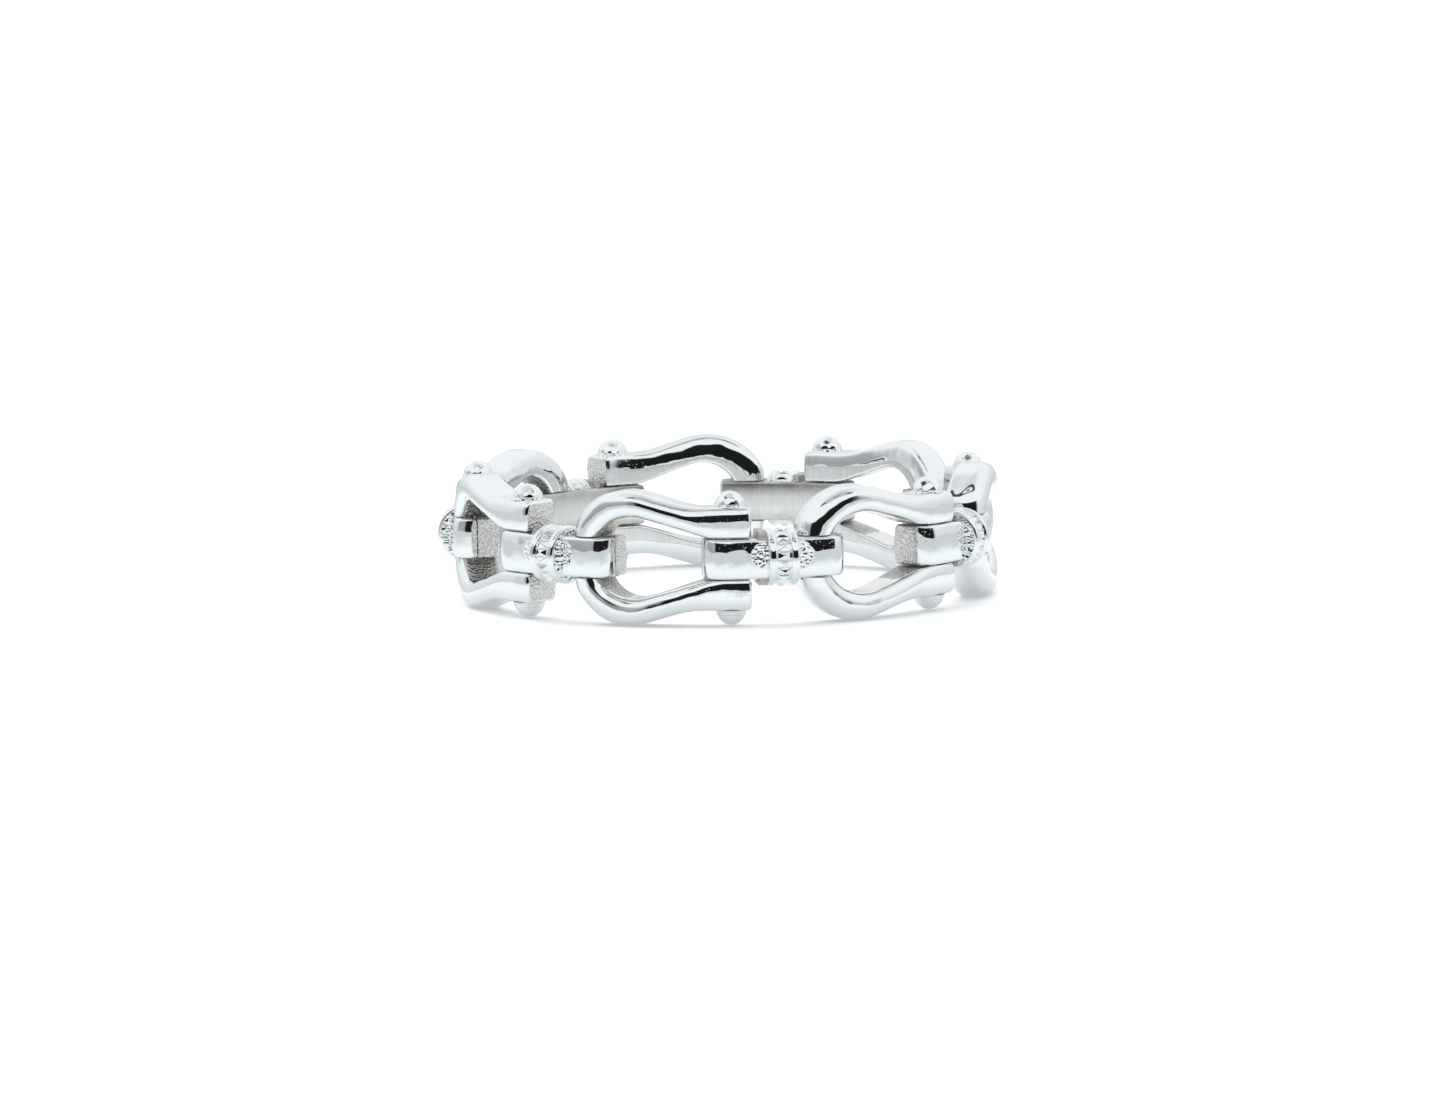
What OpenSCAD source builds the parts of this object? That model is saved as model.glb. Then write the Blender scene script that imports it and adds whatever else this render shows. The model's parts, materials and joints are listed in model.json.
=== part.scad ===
// Flexible finger band of seven bow shackles. It lies flat: the finger hole runs along Z through
// the origin, and the origin is at mid height. Each shackle carries a cross pin through its two ears.
// A strap turns on that pin, passes through a collar and ends in an eye that grips the crown of the
// next shackle. Shackle 1 has its pin on -Y, and the numbers go round anticlockwise seen from +Z.
// Angles are degrees round the band from a shackle's own pin, positive towards the next shackle.

/* [Band] */
// Radius of the finger hole
finger_r = 8.65; // [8.6:0.05:8.75]
// Distance of the pivot axes from the finger surface
pivot_depth = 0.79; // [0.76:0.01:0.82]

/* [Shackle bow] */
// Radial thickness of the bow wire
bow_t = 1.55; // [1.5:0.01:1.6]
// Outer radius of the crown arc, half the width of the band
crown_out_r = 2.5; // [2.45:0.01:2.55]
// Inner radius of the crown arc
crown_in_r = 1.5; // [1.4:0.01:1.55]
// Depth trimmed off the outer crown arc by the crown's outer edge
crown_trim = 0.3; // [0.2:0.01:0.35]
// Distance of the inner arc's centre ahead of the outer arc's
inner_shift = 0.2; // [0.15:0.01:0.25]
// Height of the outer faces of the ears
ear_top = 1.9; // [1.8:0.01:2]
// Height of the inner faces of the ears
ear_gap = 0.78; // [0.78:0.01:0.82]
// Slope of the arms where they narrow towards the ears
arm_slope = 16.7; // [14:0.1:20]
// Radius of the outer bend from arm to ear
outer_bend_r = 3; // [2:0.1:4]
// Radius of the inner bend from arm to ear
inner_bend_r = 2; // [1:0.1:3]
// Angle of the crown's outer edge, behind the pin
crown_edge_a = 36; // [35.5:0.1:36]
// Angle of the ear ends, ahead of the pin
ear_end_a = 4.4; // [4:0.1:5]

/* [Pivots] */
// Radius of the cross pin
pin_r = 0.4; // [0.35:0.01:0.42]
// Radius of the pin's domed heads
head_r = 0.58; // [0.5:0.01:0.6]
// Depth of the socket in the lower head
cap_socket = 0.25; // [0.1:0.01:0.3]
// Radius of the straight journal at the crown
journal_r = 0.42; // [0.38:0.01:0.43]
// Angle of the journal's axis, behind the pin
journal_a = 32.9; // [32.7:0.1:33.1]
// Radial running clearance of both pivots
running_gap = 0.04; // [0.03:0.005:0.05]

/* [Strap and collar] */
// Radial thickness of the strap and the eye
strap_t = 1.65; // [1.6:0.01:1.7]
// Half height of the strap and the eye
strap_half = 0.74; // [0.7:0.01:0.75]
// Angle of the strap's free end, behind the pin
tang_end_a = 6.3; // [6:0.1:6.6]
// Angle of the eye's free end, behind the pin of the shackle it grips
eye_end_a = 25.8; // [25.5:0.1:26.5]
// Radius of the rounded free ends
end_round = 0.75; // [0.4:0.01:0.8]
// Angle at which the strap's neck starts, ahead of the pin
neck_a = 5.6; // [5.6:0.1:6.4]
// Half height of the neck
neck_half = 1; // [0.8:0.01:1.05]
// Depth of the neck below the outside and the finger side of the strap
neck_step = 0.1; // [0.05:0.01:0.2]
// Angle of the collar's middle, ahead of the pin
collar_a = 10.75; // [10.6:0.05:10.8]
// Width of the collar along the band
collar_w = 1.14; // [1.1:0.01:1.16]
// Radius of the collar
collar_r = 1.09; // [1:0.01:1.12]
// Distance of the collar's axis from the finger surface
collar_depth = 1.01; // [0.95:0.01:1.05]
// Width of each plain rim of the collar
rim_w = 0.33; // [0.28:0.01:0.36]
// Depth of the beaded channel between the rims
channel_depth = 0.13; // [0.08:0.01:0.16]
// Radius of the milled beads in the channel
bead_r = 0.1; // [0.08:0.01:0.11]
// Number of beads round a whole collar
beads = 20; // [16:2:24]
// Thickness of the strap's finger side where it runs on through the collar
bridge_t = 0.35; // [0.2:0.05:0.5]
// Radius of the spigot that holds the collar on the strap
spigot_r = 0.45; // [0.4:0.01:0.5]
// Depth of the spigot's socket in the eye
spigot_socket = 0.1; // [0.05:0.01:0.12]

/* [Hidden] */
link_count = 7;
pitch = 360 / link_count;
pivot_r = finger_r + pivot_depth;
bow_r = finger_r + bow_t;
strap_r = finger_r + strap_t;
collar_axis_r = finger_r + collar_depth;
mid_a = (ear_end_a - crown_edge_a) / 2;
eye_a = pitch - journal_a;
eye_stop_a = pitch - eye_end_a;
outer_crown_x = crown_out_r - along(crown_edge_a) - crown_trim;
inner_crown_x = outer_crown_x + inner_shift;
blank_depth = 4 * bow_t;
crown_slot = 2;
arc_step = 6;
far = 14;
cut_over = 0.1;
$fn = 96;
parts = ["bow", "pin", "pin_cap", "tang", "collar", "saddle", "keeper"];

// Arc length at the pivot circle for an angle round the band
function along(angle) = pivot_r * angle * PI / 180;

// Points of a circular arc from one angle to another
function arc(centre, r, from, to) =
    let (steps = ceil(abs(to - from) / arc_step))
    [for (i = [0:steps]) let (a = from + (to - from) * i / steps)
        centre + r * [cos(a), sin(a)]];

// Upper edge of half a bow, from the crown's middle to beyond the ear: a crown arc, a sloped arm
// and a bend that levels out at the ear's height
function arm_edge(crown_x, crown_r, bend_r, ear_z) =
    let (slope_start = [crown_x, 0] + crown_r * [sin(arm_slope), cos(arm_slope)],
         bend_z = ear_z + bend_r * (1 - cos(arm_slope)),
         bend_x = slope_start[0] + (slope_start[1] - bend_z) / tan(arm_slope),
         ear_x = bend_x + bend_r * sin(arm_slope))
    concat(arc([crown_x, 0], crown_r, 180, 90 - arm_slope),
           arc([ear_x, ear_z + bend_r], bend_r, -90 - arm_slope, -90),
           [[along(2 * ear_end_a), ear_z]]);

// An arc-length point, seen square on from the middle of the shackle
function flatten(p) = [pivot_r * sin((p[0] - along(mid_a)) / pivot_r * 180 / PI), p[1]];

// The closed outline of an upper edge and its mirror image below
function closed(edge) = concat([for (p = edge) flatten(p)],
    [for (i = [len(edge) - 1:-1:1]) flatten([edge[i][0], -edge[i][1]])]);

// Turns its children from the front of the band to an angle round it
module at(angle) rotate([0, 0, angle]) children();

// A sector of the plane between two angles
module sector(from, to) {
    steps = ceil((to - from) / 30);
    polygon(concat([[0, 0]], [for (i = [0:steps]) let (a = from + (to - from) * i / steps)
        far * [sin(a), -cos(a)]]));
}

// A cylinder along Z, centred on the origin
module rod(r, h) cylinder(r = r, h = h, center = true);

// Material removed to round the outer corner of a free end that faces -X
module end_corner() translate([0, -strap_r]) difference() {
    translate([-cut_over, -cut_over]) square(end_round + cut_over);
    translate([end_round, end_round]) circle(end_round);
}

// The band's wall between two angles, from one radius to another
module wall_plan(from, to, inner, outer) difference() {
    intersection() {
        circle(outer);
        sector(from, to);
    }
    circle(inner);
}

// The collar's room and everything on its far side: side is 1 seen from the pin, -1 from the eye
module past_collar_face(side) at(collar_a) translate([side * (far - collar_w) / 2, -far])
    square([far, 2 * far], center = true);

// The bow's outline cut through the wall between the finger surface and the bow's outside
module bow_blank() intersection() {
    at(mid_a) translate([0, -finger_r + pivot_depth, 0]) rotate([90, 0, 0])
        linear_extrude(blank_depth) difference() {
            polygon(closed(arm_edge(outer_crown_x, crown_out_r, outer_bend_r, ear_top)));
            polygon(closed(arm_edge(inner_crown_x, crown_in_r, inner_bend_r, ear_gap)));
        }
    difference() {
        rod(bow_r, 2 * far);
        rod(finger_r, 3 * far);
    }
    linear_extrude(2 * far, center = true) sector(-crown_edge_a, ear_end_a);
}

// The shackle: a curved bow with bored ears, and a straight journal at its crown
module bow() color("silver") {
    difference() {
        bow_blank();
        at(-journal_a) translate([0, -pivot_r, 0])
            cube([crown_slot, blank_depth, 2 * ear_gap], center = true);
        translate([0, -pivot_r, 0]) rod(pin_r, far);
    }
    at(-journal_a) translate([0, -pivot_r, 0]) rod(journal_r, 2 * ear_gap);
}

// A domed head that sits on the ear at +Z
module head() translate([0, 0, ear_top]) intersection() {
    sphere(head_r);
    cylinder(r = 2 * head_r, h = 2 * head_r);
}

// The cross pin with its upper head
module pin() color("gainsboro") translate([0, -pivot_r, 0]) {
    translate([0, 0, -ear_top - cap_socket]) cylinder(r = pin_r, h = 2 * ear_top + cap_socket);
    head();
}

// The lower head, set on the end of the pin
module pin_cap() color("gainsboro") translate([0, -pivot_r, 0]) difference() {
    mirror([0, 0, 1]) head();
    translate([0, 0, -ear_top - cap_socket]) cylinder(r = pin_r, h = 2 * ear_top);
}

// A cylinder along the band through the collar's middle, from the strap to beyond the collar
module spigot(beyond) at(collar_a) translate([-collar_w / 2, -collar_axis_r, 0])
    rotate([0, 90, 0]) cylinder(r = spigot_r, h = collar_w + beyond);

// The strap that turns on the pin, with its taller neck and the spigot for its collar
module tang() color("silver") {
    difference() {
        linear_extrude(2 * strap_half, center = true) difference() {
            wall_plan(-tang_end_a, 2 * collar_a, finger_r, strap_r);
            past_collar_face(1);
            at(-tang_end_a) end_corner();
        }
        translate([0, -pivot_r, 0]) rod(pin_r + running_gap, far);
    }
    linear_extrude(2 * neck_half, center = true) difference() {
        wall_plan(neck_a, 2 * collar_a, finger_r + neck_step, strap_r - neck_step);
        past_collar_face(1);
    }
    spigot(spigot_socket);
}

// The strap's finger side carried on through the collar, flush with both its neighbours
module collar_bridge() linear_extrude(2 * strap_half, center = true) intersection() {
    circle(finger_r + bridge_t);
    at(collar_a) translate([-collar_w / 2, -far]) square([collar_w, far]);
}

// The collar: two plain rims and a beaded channel, cut flush with the finger surface
module collar() color("whitesmoke") difference() {
    union() {
        at(collar_a) translate([0, -collar_axis_r, 0]) rotate([0, 90, 0]) {
            difference() {
                rod(collar_r, collar_w);
                rod(spigot_r, far);
                difference() {
                    rod(2 * collar_r, collar_w - 2 * rim_w);
                    rod(collar_r - channel_depth, far);
                }
            }
            for (i = [0:beads - 1]) rotate([0, 0, i * 360 / beads])
                translate([collar_r - channel_depth, 0, 0]) sphere(bead_r, $fn = 24);
        }
        collar_bridge();
    }
    rod(finger_r, far);
}

// The eye's block round the crown journal, with the bore and the spigot's socket
module eye_block() difference() {
    linear_extrude(2 * strap_half, center = true) difference() {
        wall_plan(0, eye_stop_a, finger_r, strap_r);
        past_collar_face(-1);
        at(eye_stop_a) mirror([1, 0, 0]) end_corner();
    }
    at(eye_a) translate([0, -pivot_r, 0]) rod(journal_r + running_gap, far);
    spigot(spigot_socket);
}

// Everything outside the plane that splits the eye through the journal's axis
module outer_half() at(eye_a) translate([-far / 2, -pivot_r - far, -far / 2]) cube(far);

// The outer half of the eye
module saddle() color("silver") intersection() {
    eye_block();
    outer_half();
}

// The inner half of the eye, next to the finger
module keeper() color("lightgrey") difference() {
    eye_block();
    outer_half();
}

for (unit = [1:link_count]) at((unit - 1) * pitch) {
    bow();
    pin();
    pin_cap();
    tang();
    collar();
    saddle();
    keeper();
}
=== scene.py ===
"""Looks for the shackle-link finger band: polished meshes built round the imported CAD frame.

Shapes are worked out in millimetres for shackle 1, whose pin lies on -Y, then turned to every unit.
A place on the band is given as (u, z, r): u is the arc length from the shackle's own pin measured at
the pivot circle, z is the height, and r is the distance from the band's axis.
"""

import json
import math

import bpy
import numpy as np
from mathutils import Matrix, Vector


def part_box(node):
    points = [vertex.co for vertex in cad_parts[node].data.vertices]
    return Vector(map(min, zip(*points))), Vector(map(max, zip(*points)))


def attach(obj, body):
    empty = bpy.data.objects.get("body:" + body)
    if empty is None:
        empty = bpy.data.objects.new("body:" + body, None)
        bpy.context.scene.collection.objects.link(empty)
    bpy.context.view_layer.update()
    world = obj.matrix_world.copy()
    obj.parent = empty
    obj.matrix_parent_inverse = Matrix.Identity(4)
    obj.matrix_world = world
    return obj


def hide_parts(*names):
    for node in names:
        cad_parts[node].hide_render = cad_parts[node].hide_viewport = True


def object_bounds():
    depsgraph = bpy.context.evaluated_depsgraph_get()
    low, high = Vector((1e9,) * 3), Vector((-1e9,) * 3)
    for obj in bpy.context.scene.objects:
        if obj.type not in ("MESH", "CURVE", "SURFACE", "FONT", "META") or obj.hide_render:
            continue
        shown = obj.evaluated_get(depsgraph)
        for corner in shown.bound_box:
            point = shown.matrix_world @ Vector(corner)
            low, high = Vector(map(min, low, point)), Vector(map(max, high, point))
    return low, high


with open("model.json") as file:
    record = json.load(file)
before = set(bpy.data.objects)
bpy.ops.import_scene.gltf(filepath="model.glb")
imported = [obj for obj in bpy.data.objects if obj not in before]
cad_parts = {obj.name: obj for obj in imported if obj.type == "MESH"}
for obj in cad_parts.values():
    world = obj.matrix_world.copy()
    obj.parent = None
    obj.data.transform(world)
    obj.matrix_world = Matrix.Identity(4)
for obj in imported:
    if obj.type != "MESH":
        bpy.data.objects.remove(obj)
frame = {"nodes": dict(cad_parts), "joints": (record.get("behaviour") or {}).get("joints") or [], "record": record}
cad_low, cad_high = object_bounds()

MM = 0.001
RECORD = frame["record"]
JOINTS = {joint["name"]: joint for joint in frame["joints"]}


def joint_place(name):
    """Radius in millimetres and angle in degrees from -Y of a pivot."""
    x, y, _ = JOINTS[name]["pos_m"]
    return math.hypot(x, y) / MM, math.degrees(math.atan2(x, -y))


# Sizes read from the frame, in millimetres and degrees
FINGER_R = RECORD["mounts"][0]["dims"]["r_mm"]
PIVOT_R = joint_place("pin_pivot_1")[0]
JOURNAL_A = joint_place("crown_pivot_1")[1]
UNITS = sum(1 for name in frame["nodes"] if name.startswith("collar_"))
PITCH = 360 / UNITS
BOW_R = -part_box("bow_1")[0].y / MM
BAND_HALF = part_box("bow_1")[1].z / MM
EAR_TOP = -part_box("pin_cap_1")[1].z / MM
HEAD_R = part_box("pin_1")[1].z / MM - EAR_TOP
STRAP_R = -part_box("tang_1")[0].y / MM
STRAP_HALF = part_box("saddle_1")[1].z / MM
COLLAR_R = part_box("collar_1")[1].z / MM

# Sizes of the shackle bow, in millimetres
EAR_GAP = 0.78
EAR_END_U = 0.725
CROWN_OUT_X, CROWN_OUT_R = -3.75, BAND_HALF
CROWN_IN_X, CROWN_IN_R = -3.5, 1.5
CROWN_EDGE_U = -6.02
ARM_SLOPE = math.radians(16.7)
OUTER_BEND_R, INNER_BEND_R = 3.0, 2.0
JOURNAL_R = 0.42
PIN_R = 0.40
RUNNING_GAP = 0.04
EAR_BEVEL = 0.15
CROWN_EASE = 0.2
HEAD_FLARE = 0.035
CAP_SOCKET = 0.25
HAMMER_MARKS = 46

# Sizes of the strap, the collar and the eye, in millimetres and degrees
TANG_END_U = -1.04
TANG_ROUND = (0.72, 0.76)
NECK_U, NECK_HALF = 0.93, 1.0
COLLAR_A = 10.75
COLLAR_HALF = 0.57
COLLAR_AXIS_R = FINGER_R + 1.01
RIM_W = 0.31
CHANNEL_DEPTH = 0.13
BEADS = 20
BRIDGE_T = 0.35
SPIGOT_R = 0.45
EYE_A = PITCH + JOURNAL_A
EYE_END_A = PITCH - 25.8
EYE_ROUND = (0.66, 0.85)
PLAN_ROUND = 0.14
SEAM = 0.012
PILLOW = 0.10
CHEEK_HEIGHT = 0.10
FACE_STEP = 0.14
BEAD_HEIGHT = 0.135

# Rounding along the inner long edges of a strap as (width, depth), at the finger and at a seam
FINGER_EDGE, SEAM_EDGE = (0.70, 0.09), (0.16, 0.06)

# Steps inward of the rings that close a flat end, as lengths and as shares of the half width
CAP_INSETS = (0.42, 0.32, 0.22, 0.14)
CAP_SHARES = (0.85, 0.7, 0.55)


# ---------------------------------------------------------------- curves and sections


def wrap(u, z, r):
    """Points in space, in millimetres, for places on the band."""
    angle = u / PIVOT_R
    return np.stack([r * np.sin(angle), -r * np.cos(angle), z + 0 * angle], axis=-1)


def arc(x, y, radius, start, end, count):
    """Points of an arc between two angles in radians, the last one left out."""
    angle = np.linspace(start, end, count, endpoint=False)
    return np.stack([x + radius * np.cos(angle), y + radius * np.sin(angle)], axis=-1)


def line(start, end, count):
    """Evenly spaced points from start to end, the last one left out."""
    share = np.linspace(0, 1, count, endpoint=False)[:, None]
    return np.asarray(start) + share * (np.asarray(end) - np.asarray(start))


def smooth_step(low, high, value):
    """0 below low, 1 above high, and a smooth rise between them."""
    share = np.clip((value - low) / (high - low), 0, 1)
    return share * share * (3 - 2 * share)


def softened(points, passes):
    """The same polyline with its changes of curvature spread out; its ends stay put."""
    points = points.copy()
    for _ in range(passes):
        points[1:-1] = 0.25 * points[:-2] + 0.5 * points[1:-1] + 0.25 * points[2:]
    return points


def rounded_outline(x0, x1, y0, y1, corners, per_corner, per_edge):
    """A closed rectangle outline with rounded corners, anticlockwise from the corner at x0, y0.
    corners holds (radius along x, radius along y, power) for the corners (x0, y0), (x1, y0), (x1, y1)
    and (x0, y1): a power of 2 is an ellipse, and a higher one starts flatter and ends tighter."""
    places = [(x0, y0, 1, 1), (x1, y0, -1, 1), (x1, y1, -1, -1), (x0, y1, 1, -1)]
    turns = [math.pi, 1.5 * math.pi, 0.0, 0.5 * math.pi]
    arcs = []
    for (x, y, side_x, side_y), turn, (rx, ry, power) in zip(places, turns, corners):
        angle = turn + np.linspace(0, 0.5 * math.pi, per_corner)
        cosine, sine = np.cos(angle), np.sin(angle)
        arcs.append(np.stack([
            x + side_x * rx + rx * np.sign(cosine) * np.abs(cosine) ** (2 / power),
            y + side_y * ry + ry * np.sign(sine) * np.abs(sine) ** (2 / power),
        ], axis=-1))
    parts = []
    for here, following in zip(arcs, arcs[1:] + arcs[:1]):
        parts.append(here)
        parts.append(line(here[-1], following[0], per_edge + 1)[1:])
    return np.concatenate(parts)


# ---------------------------------------------------------------- meshes


# Points round a bore or a turned part, and the angle in degrees above which an edge stays sharp
AROUND = 96
SHARP_ANGLE = 40


def new_piece(name, points, faces, finishes):
    """A mesh object from points in millimetres, with one point attribute per finish."""
    mesh = bpy.data.meshes.new(name)
    mesh.from_pydata((points * MM).tolist(), [], faces)
    mesh.update()
    for finish, values in finishes.items():
        attribute = mesh.attributes.new(finish, "FLOAT", "POINT")
        attribute.data.foreach_set("value", np.asarray(values, np.float32).ravel())
    if signed_volume(mesh) < 0:
        mesh.flip_normals()
    piece = bpy.data.objects.new(name, mesh)
    bpy.context.scene.collection.objects.link(piece)
    return piece


def signed_volume(mesh):
    """Six times a mesh's volume, negative when its faces point inwards."""
    mesh.calc_loop_triangles()
    corners = np.zeros(len(mesh.loop_triangles) * 3, np.int32)
    mesh.loop_triangles.foreach_get("vertices", corners)
    places = np.zeros(len(mesh.vertices) * 3, np.float32)
    mesh.vertices.foreach_get("co", places)
    a, b, c = places.reshape(-1, 3)[corners].reshape(-1, 3, 3).transpose(1, 0, 2)
    return float(np.einsum("ij,ij->i", a, np.cross(b, c)).sum())


def skin(rings):
    """Quads over a stack of rings, closed at both ends by fans. rings is (count, around, 3)."""
    count, around, _ = rings.shape
    points = np.concatenate([rings.reshape(-1, 3), [rings[0].mean(0)], [rings[-1].mean(0)]])
    first, last = count * around, count * around + 1
    faces = []
    for i in range(count - 1):
        for j in range(around):
            k = (j + 1) % around
            faces.append((i * around + j, (i + 1) * around + j, (i + 1) * around + k, i * around + k))
    for j in range(around):
        k = (j + 1) % around
        faces.append((first, j, k))
        faces.append((last, (count - 1) * around + k, (count - 1) * around + j))
    return points, faces


def skin_finish(values):
    """Finish values for skin's points: the two fan centres take their ring's mean."""
    return np.concatenate([values.ravel(), [values[0].mean()], [values[-1].mean()]])


def torus_faces(rings):
    """Quads over a stack of closed rings whose last ring joins the first."""
    count, around, _ = rings.shape
    faces = []
    for i in range(count):
        for j in range(around):
            ni, nj = (i + 1) % count, (j + 1) % around
            faces.append((i * around + j, ni * around + j, ni * around + nj, i * around + nj))
    return rings.reshape(-1, 3), faces


def bored(piece, radius, height, place):
    """Cuts an upright hole through a piece; place is the hole's centre in millimetres."""
    angle = np.linspace(0, 2 * math.pi, AROUND, endpoint=False)
    circle = np.stack([radius * np.cos(angle), radius * np.sin(angle), 0 * angle], axis=-1)
    rings = np.stack([circle + [0, 0, z] for z in (-height, height)]) + np.asarray(place)
    points, faces = skin(rings)
    cutter = new_piece("cutter", points, faces, {})
    cut = piece.modifiers.new("bore", "BOOLEAN")
    cut.operation = "DIFFERENCE"
    cut.solver = "EXACT"
    cut.object = cutter
    graph = bpy.context.evaluated_depsgraph_get()
    mesh = bpy.data.meshes.new_from_object(piece.evaluated_get(graph))
    piece.modifiers.clear()
    piece.data = mesh
    bpy.data.objects.remove(cutter)


def turned_copy(master, name, angle):
    """A copy of a piece built for shackle 1, turned about the band's axis by an angle in degrees."""
    mesh = master.data.copy()
    places = np.zeros(len(mesh.vertices) * 3)
    mesh.vertices.foreach_get("co", places)
    places = places.reshape(-1, 3)
    cosine, sine = math.cos(math.radians(angle)), math.sin(math.radians(angle))
    turn = np.array([[cosine, -sine, 0], [sine, cosine, 0], [0, 0, 1]])
    mesh.vertices.foreach_set("co", (places @ turn.T).ravel())
    mesh.shade_smooth()
    mesh.set_sharp_from_angle(angle=math.radians(SHARP_ANGLE))
    mesh.update()
    piece = bpy.data.objects.new(name, mesh)
    bpy.context.scene.collection.objects.link(piece)
    return piece


# ---------------------------------------------------------------- the shackle bow


def arm_edge(crown_x, crown_r, bend_r, ear_z):
    """Upper edge of half a bow as (u, z), from the ear's end to the crown's flat shoulder."""
    slope = ARM_SLOPE
    high_x, high_z = crown_x + crown_r * math.sin(slope), crown_r * math.cos(slope)
    bend_z = ear_z + bend_r * (1 - math.cos(slope))
    bend_x = high_x + (high_z - bend_z) / math.tan(slope)
    ear_x = bend_x + bend_r * math.sin(slope)
    shoulder = math.pi - math.asin(EAR_GAP / crown_r)
    edge = np.concatenate([
        line((EAR_END_U, ear_z), (ear_x, ear_z), 26),
        arc(ear_x, ear_z + bend_r, bend_r, -0.5 * math.pi, -0.5 * math.pi - slope, 22),
        line((bend_x, bend_z), (high_x, high_z), 30),
        arc(crown_x, 0, crown_r, 0.5 * math.pi - slope, shoulder, 60),
        [[crown_x + crown_r * math.cos(shoulder), EAR_GAP]],
    ])
    return softened(edge, 30)


# Section corners of the bow at the crown, on the arms and at the ears. Each is (radius as a share of
# the width, radial radius, power), in the order finger side inner, finger side outer, outside outer,
# outside inner.
CROWN_SECTION = np.array([(0.14, 0.14, 2.0), (0.66, 0.26, 2.0), (0.60, 0.86, 2.0), (0.40, 0.48, 2.0)])
ARM_SECTION = np.array([(0.14, 0.14, 2.0), (0.84, 0.32, 2.0), (0.50, 0.50, 2.0), (0.49, 0.38, 2.0)])
EAR_SECTION = np.array([(0.10, 0.10, 2.0), (0.60, 0.18, 2.0), (0.50, 0.25, 2.0), (0.40, 0.125, 2.0)])

# Arc lengths between which the section changes and the opening's wall turns rough
CROWN_BLEND = (-5.4, -4.0)
EAR_BLEND, FINGER_EAR_BLEND = (-2.2, -0.3), (-3.1, -1.1)
ROUGH_CROWN, ROUGH_EARS = (-4.3, -3.2), (-2.5, -1.7)


def bow_section(width, inset, u):
    """Section across the wire as (distance from the opening's wall, r): a domed outside, a broad
    outer shoulder and a comfort-rounded finger side."""
    crown = 1 - smooth_step(*CROWN_BLEND, u)
    ear, finger_ear = smooth_step(*EAR_BLEND, u), smooth_step(*FINGER_EAR_BLEND, u)
    ears = np.array([ear, finger_ear, ear, ear])[:, None]
    corners = crown * CROWN_SECTION + ears * EAR_SECTION + (1 - crown - ears) * ARM_SECTION
    span = width - 2 * inset
    low, high = FINGER_R + inset, BOW_R - inset
    outline = rounded_outline(inset, width - inset, low, high, corners * [span, 1, 1], 18, 5)
    return outline[:, 0], outline[:, 1]


def bow_rings():
    """Rings of the bow's upper half from the ear's end to the crown's shoulder, with finishes."""
    outer = arm_edge(CROWN_OUT_X, CROWN_OUT_R, OUTER_BEND_R, EAR_TOP)
    inner = arm_edge(CROWN_IN_X, CROWN_IN_R, INNER_BEND_R, EAR_GAP)
    past_ease = outer[:, 0] - CROWN_EDGE_U - CROWN_EASE
    eased = CROWN_EDGE_U + CROWN_EASE * np.exp(np.minimum(past_ease, 0) / CROWN_EASE)
    outer[:, 0] = np.where(past_ease < 0, eased, outer[:, 0])
    rings, walls = [], []

    def ring(inside, outside, inset):
        across = outside - inside
        width = np.linalg.norm(across)
        offset, r = bow_section(width, inset, 0.5 * (inside[0] + outside[0]))
        place = inside + np.outer(offset / width, across)
        rings.append(wrap(place[:, 0], place[:, 1], r))
        wall = 1 - smooth_step(0.01, 0.08, offset)
        walls.append(wall * (1 - smooth_step(BOW_R - 0.42, BOW_R - 0.26, r)))

    half_width = 0.5 * (outer[0, 1] - inner[0, 1])
    for share in CAP_SHARES:
        ring(inner[0], outer[0], share * half_width)
        walls[-1] = np.ones_like(walls[-1])
    for turn in np.linspace(0.5 * math.pi, 0, 9, endpoint=False):
        shift = np.array([-EAR_BEVEL * (1 - math.sin(turn)), 0])
        ring(inner[0] + shift, outer[0] + shift, EAR_BEVEL * (1 - math.cos(turn)))
        if turn > 0.4 * math.pi:
            walls[-1] = np.ones_like(walls[-1])
    first = int(np.argmax(inner[:, 0] < inner[0, 0] - EAR_BEVEL))
    for inside, outside in zip(inner[first:], outer[first:]):
        ring(inside, outside, 0.0)
    return np.array(rings), np.array(walls)


def journal_rings(shoulder):
    """Rings that step from the crown's flat shoulder to the journal and run down to mid height."""
    centre = wrap(np.array([math.radians(JOURNAL_A) * PIVOT_R]), np.array([0.0]), PIVOT_R)[0]
    flat = shoulder - centre
    angle = np.arctan2(flat[:, 1], flat[:, 0])
    circle = centre + JOURNAL_R * np.stack([np.cos(angle), np.sin(angle), 0 * angle], axis=-1)
    rings = []
    for share in (0.35, 0.7, 1.0):
        ring = shoulder + share * (circle - shoulder)
        ring[:, 2] = EAR_GAP
        rings.append(ring)
    for z in np.linspace(EAR_GAP, 0, 5)[1:]:
        ring = circle.copy()
        ring[:, 2] = z
        rings.append(ring)
    return np.array(rings)


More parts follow.
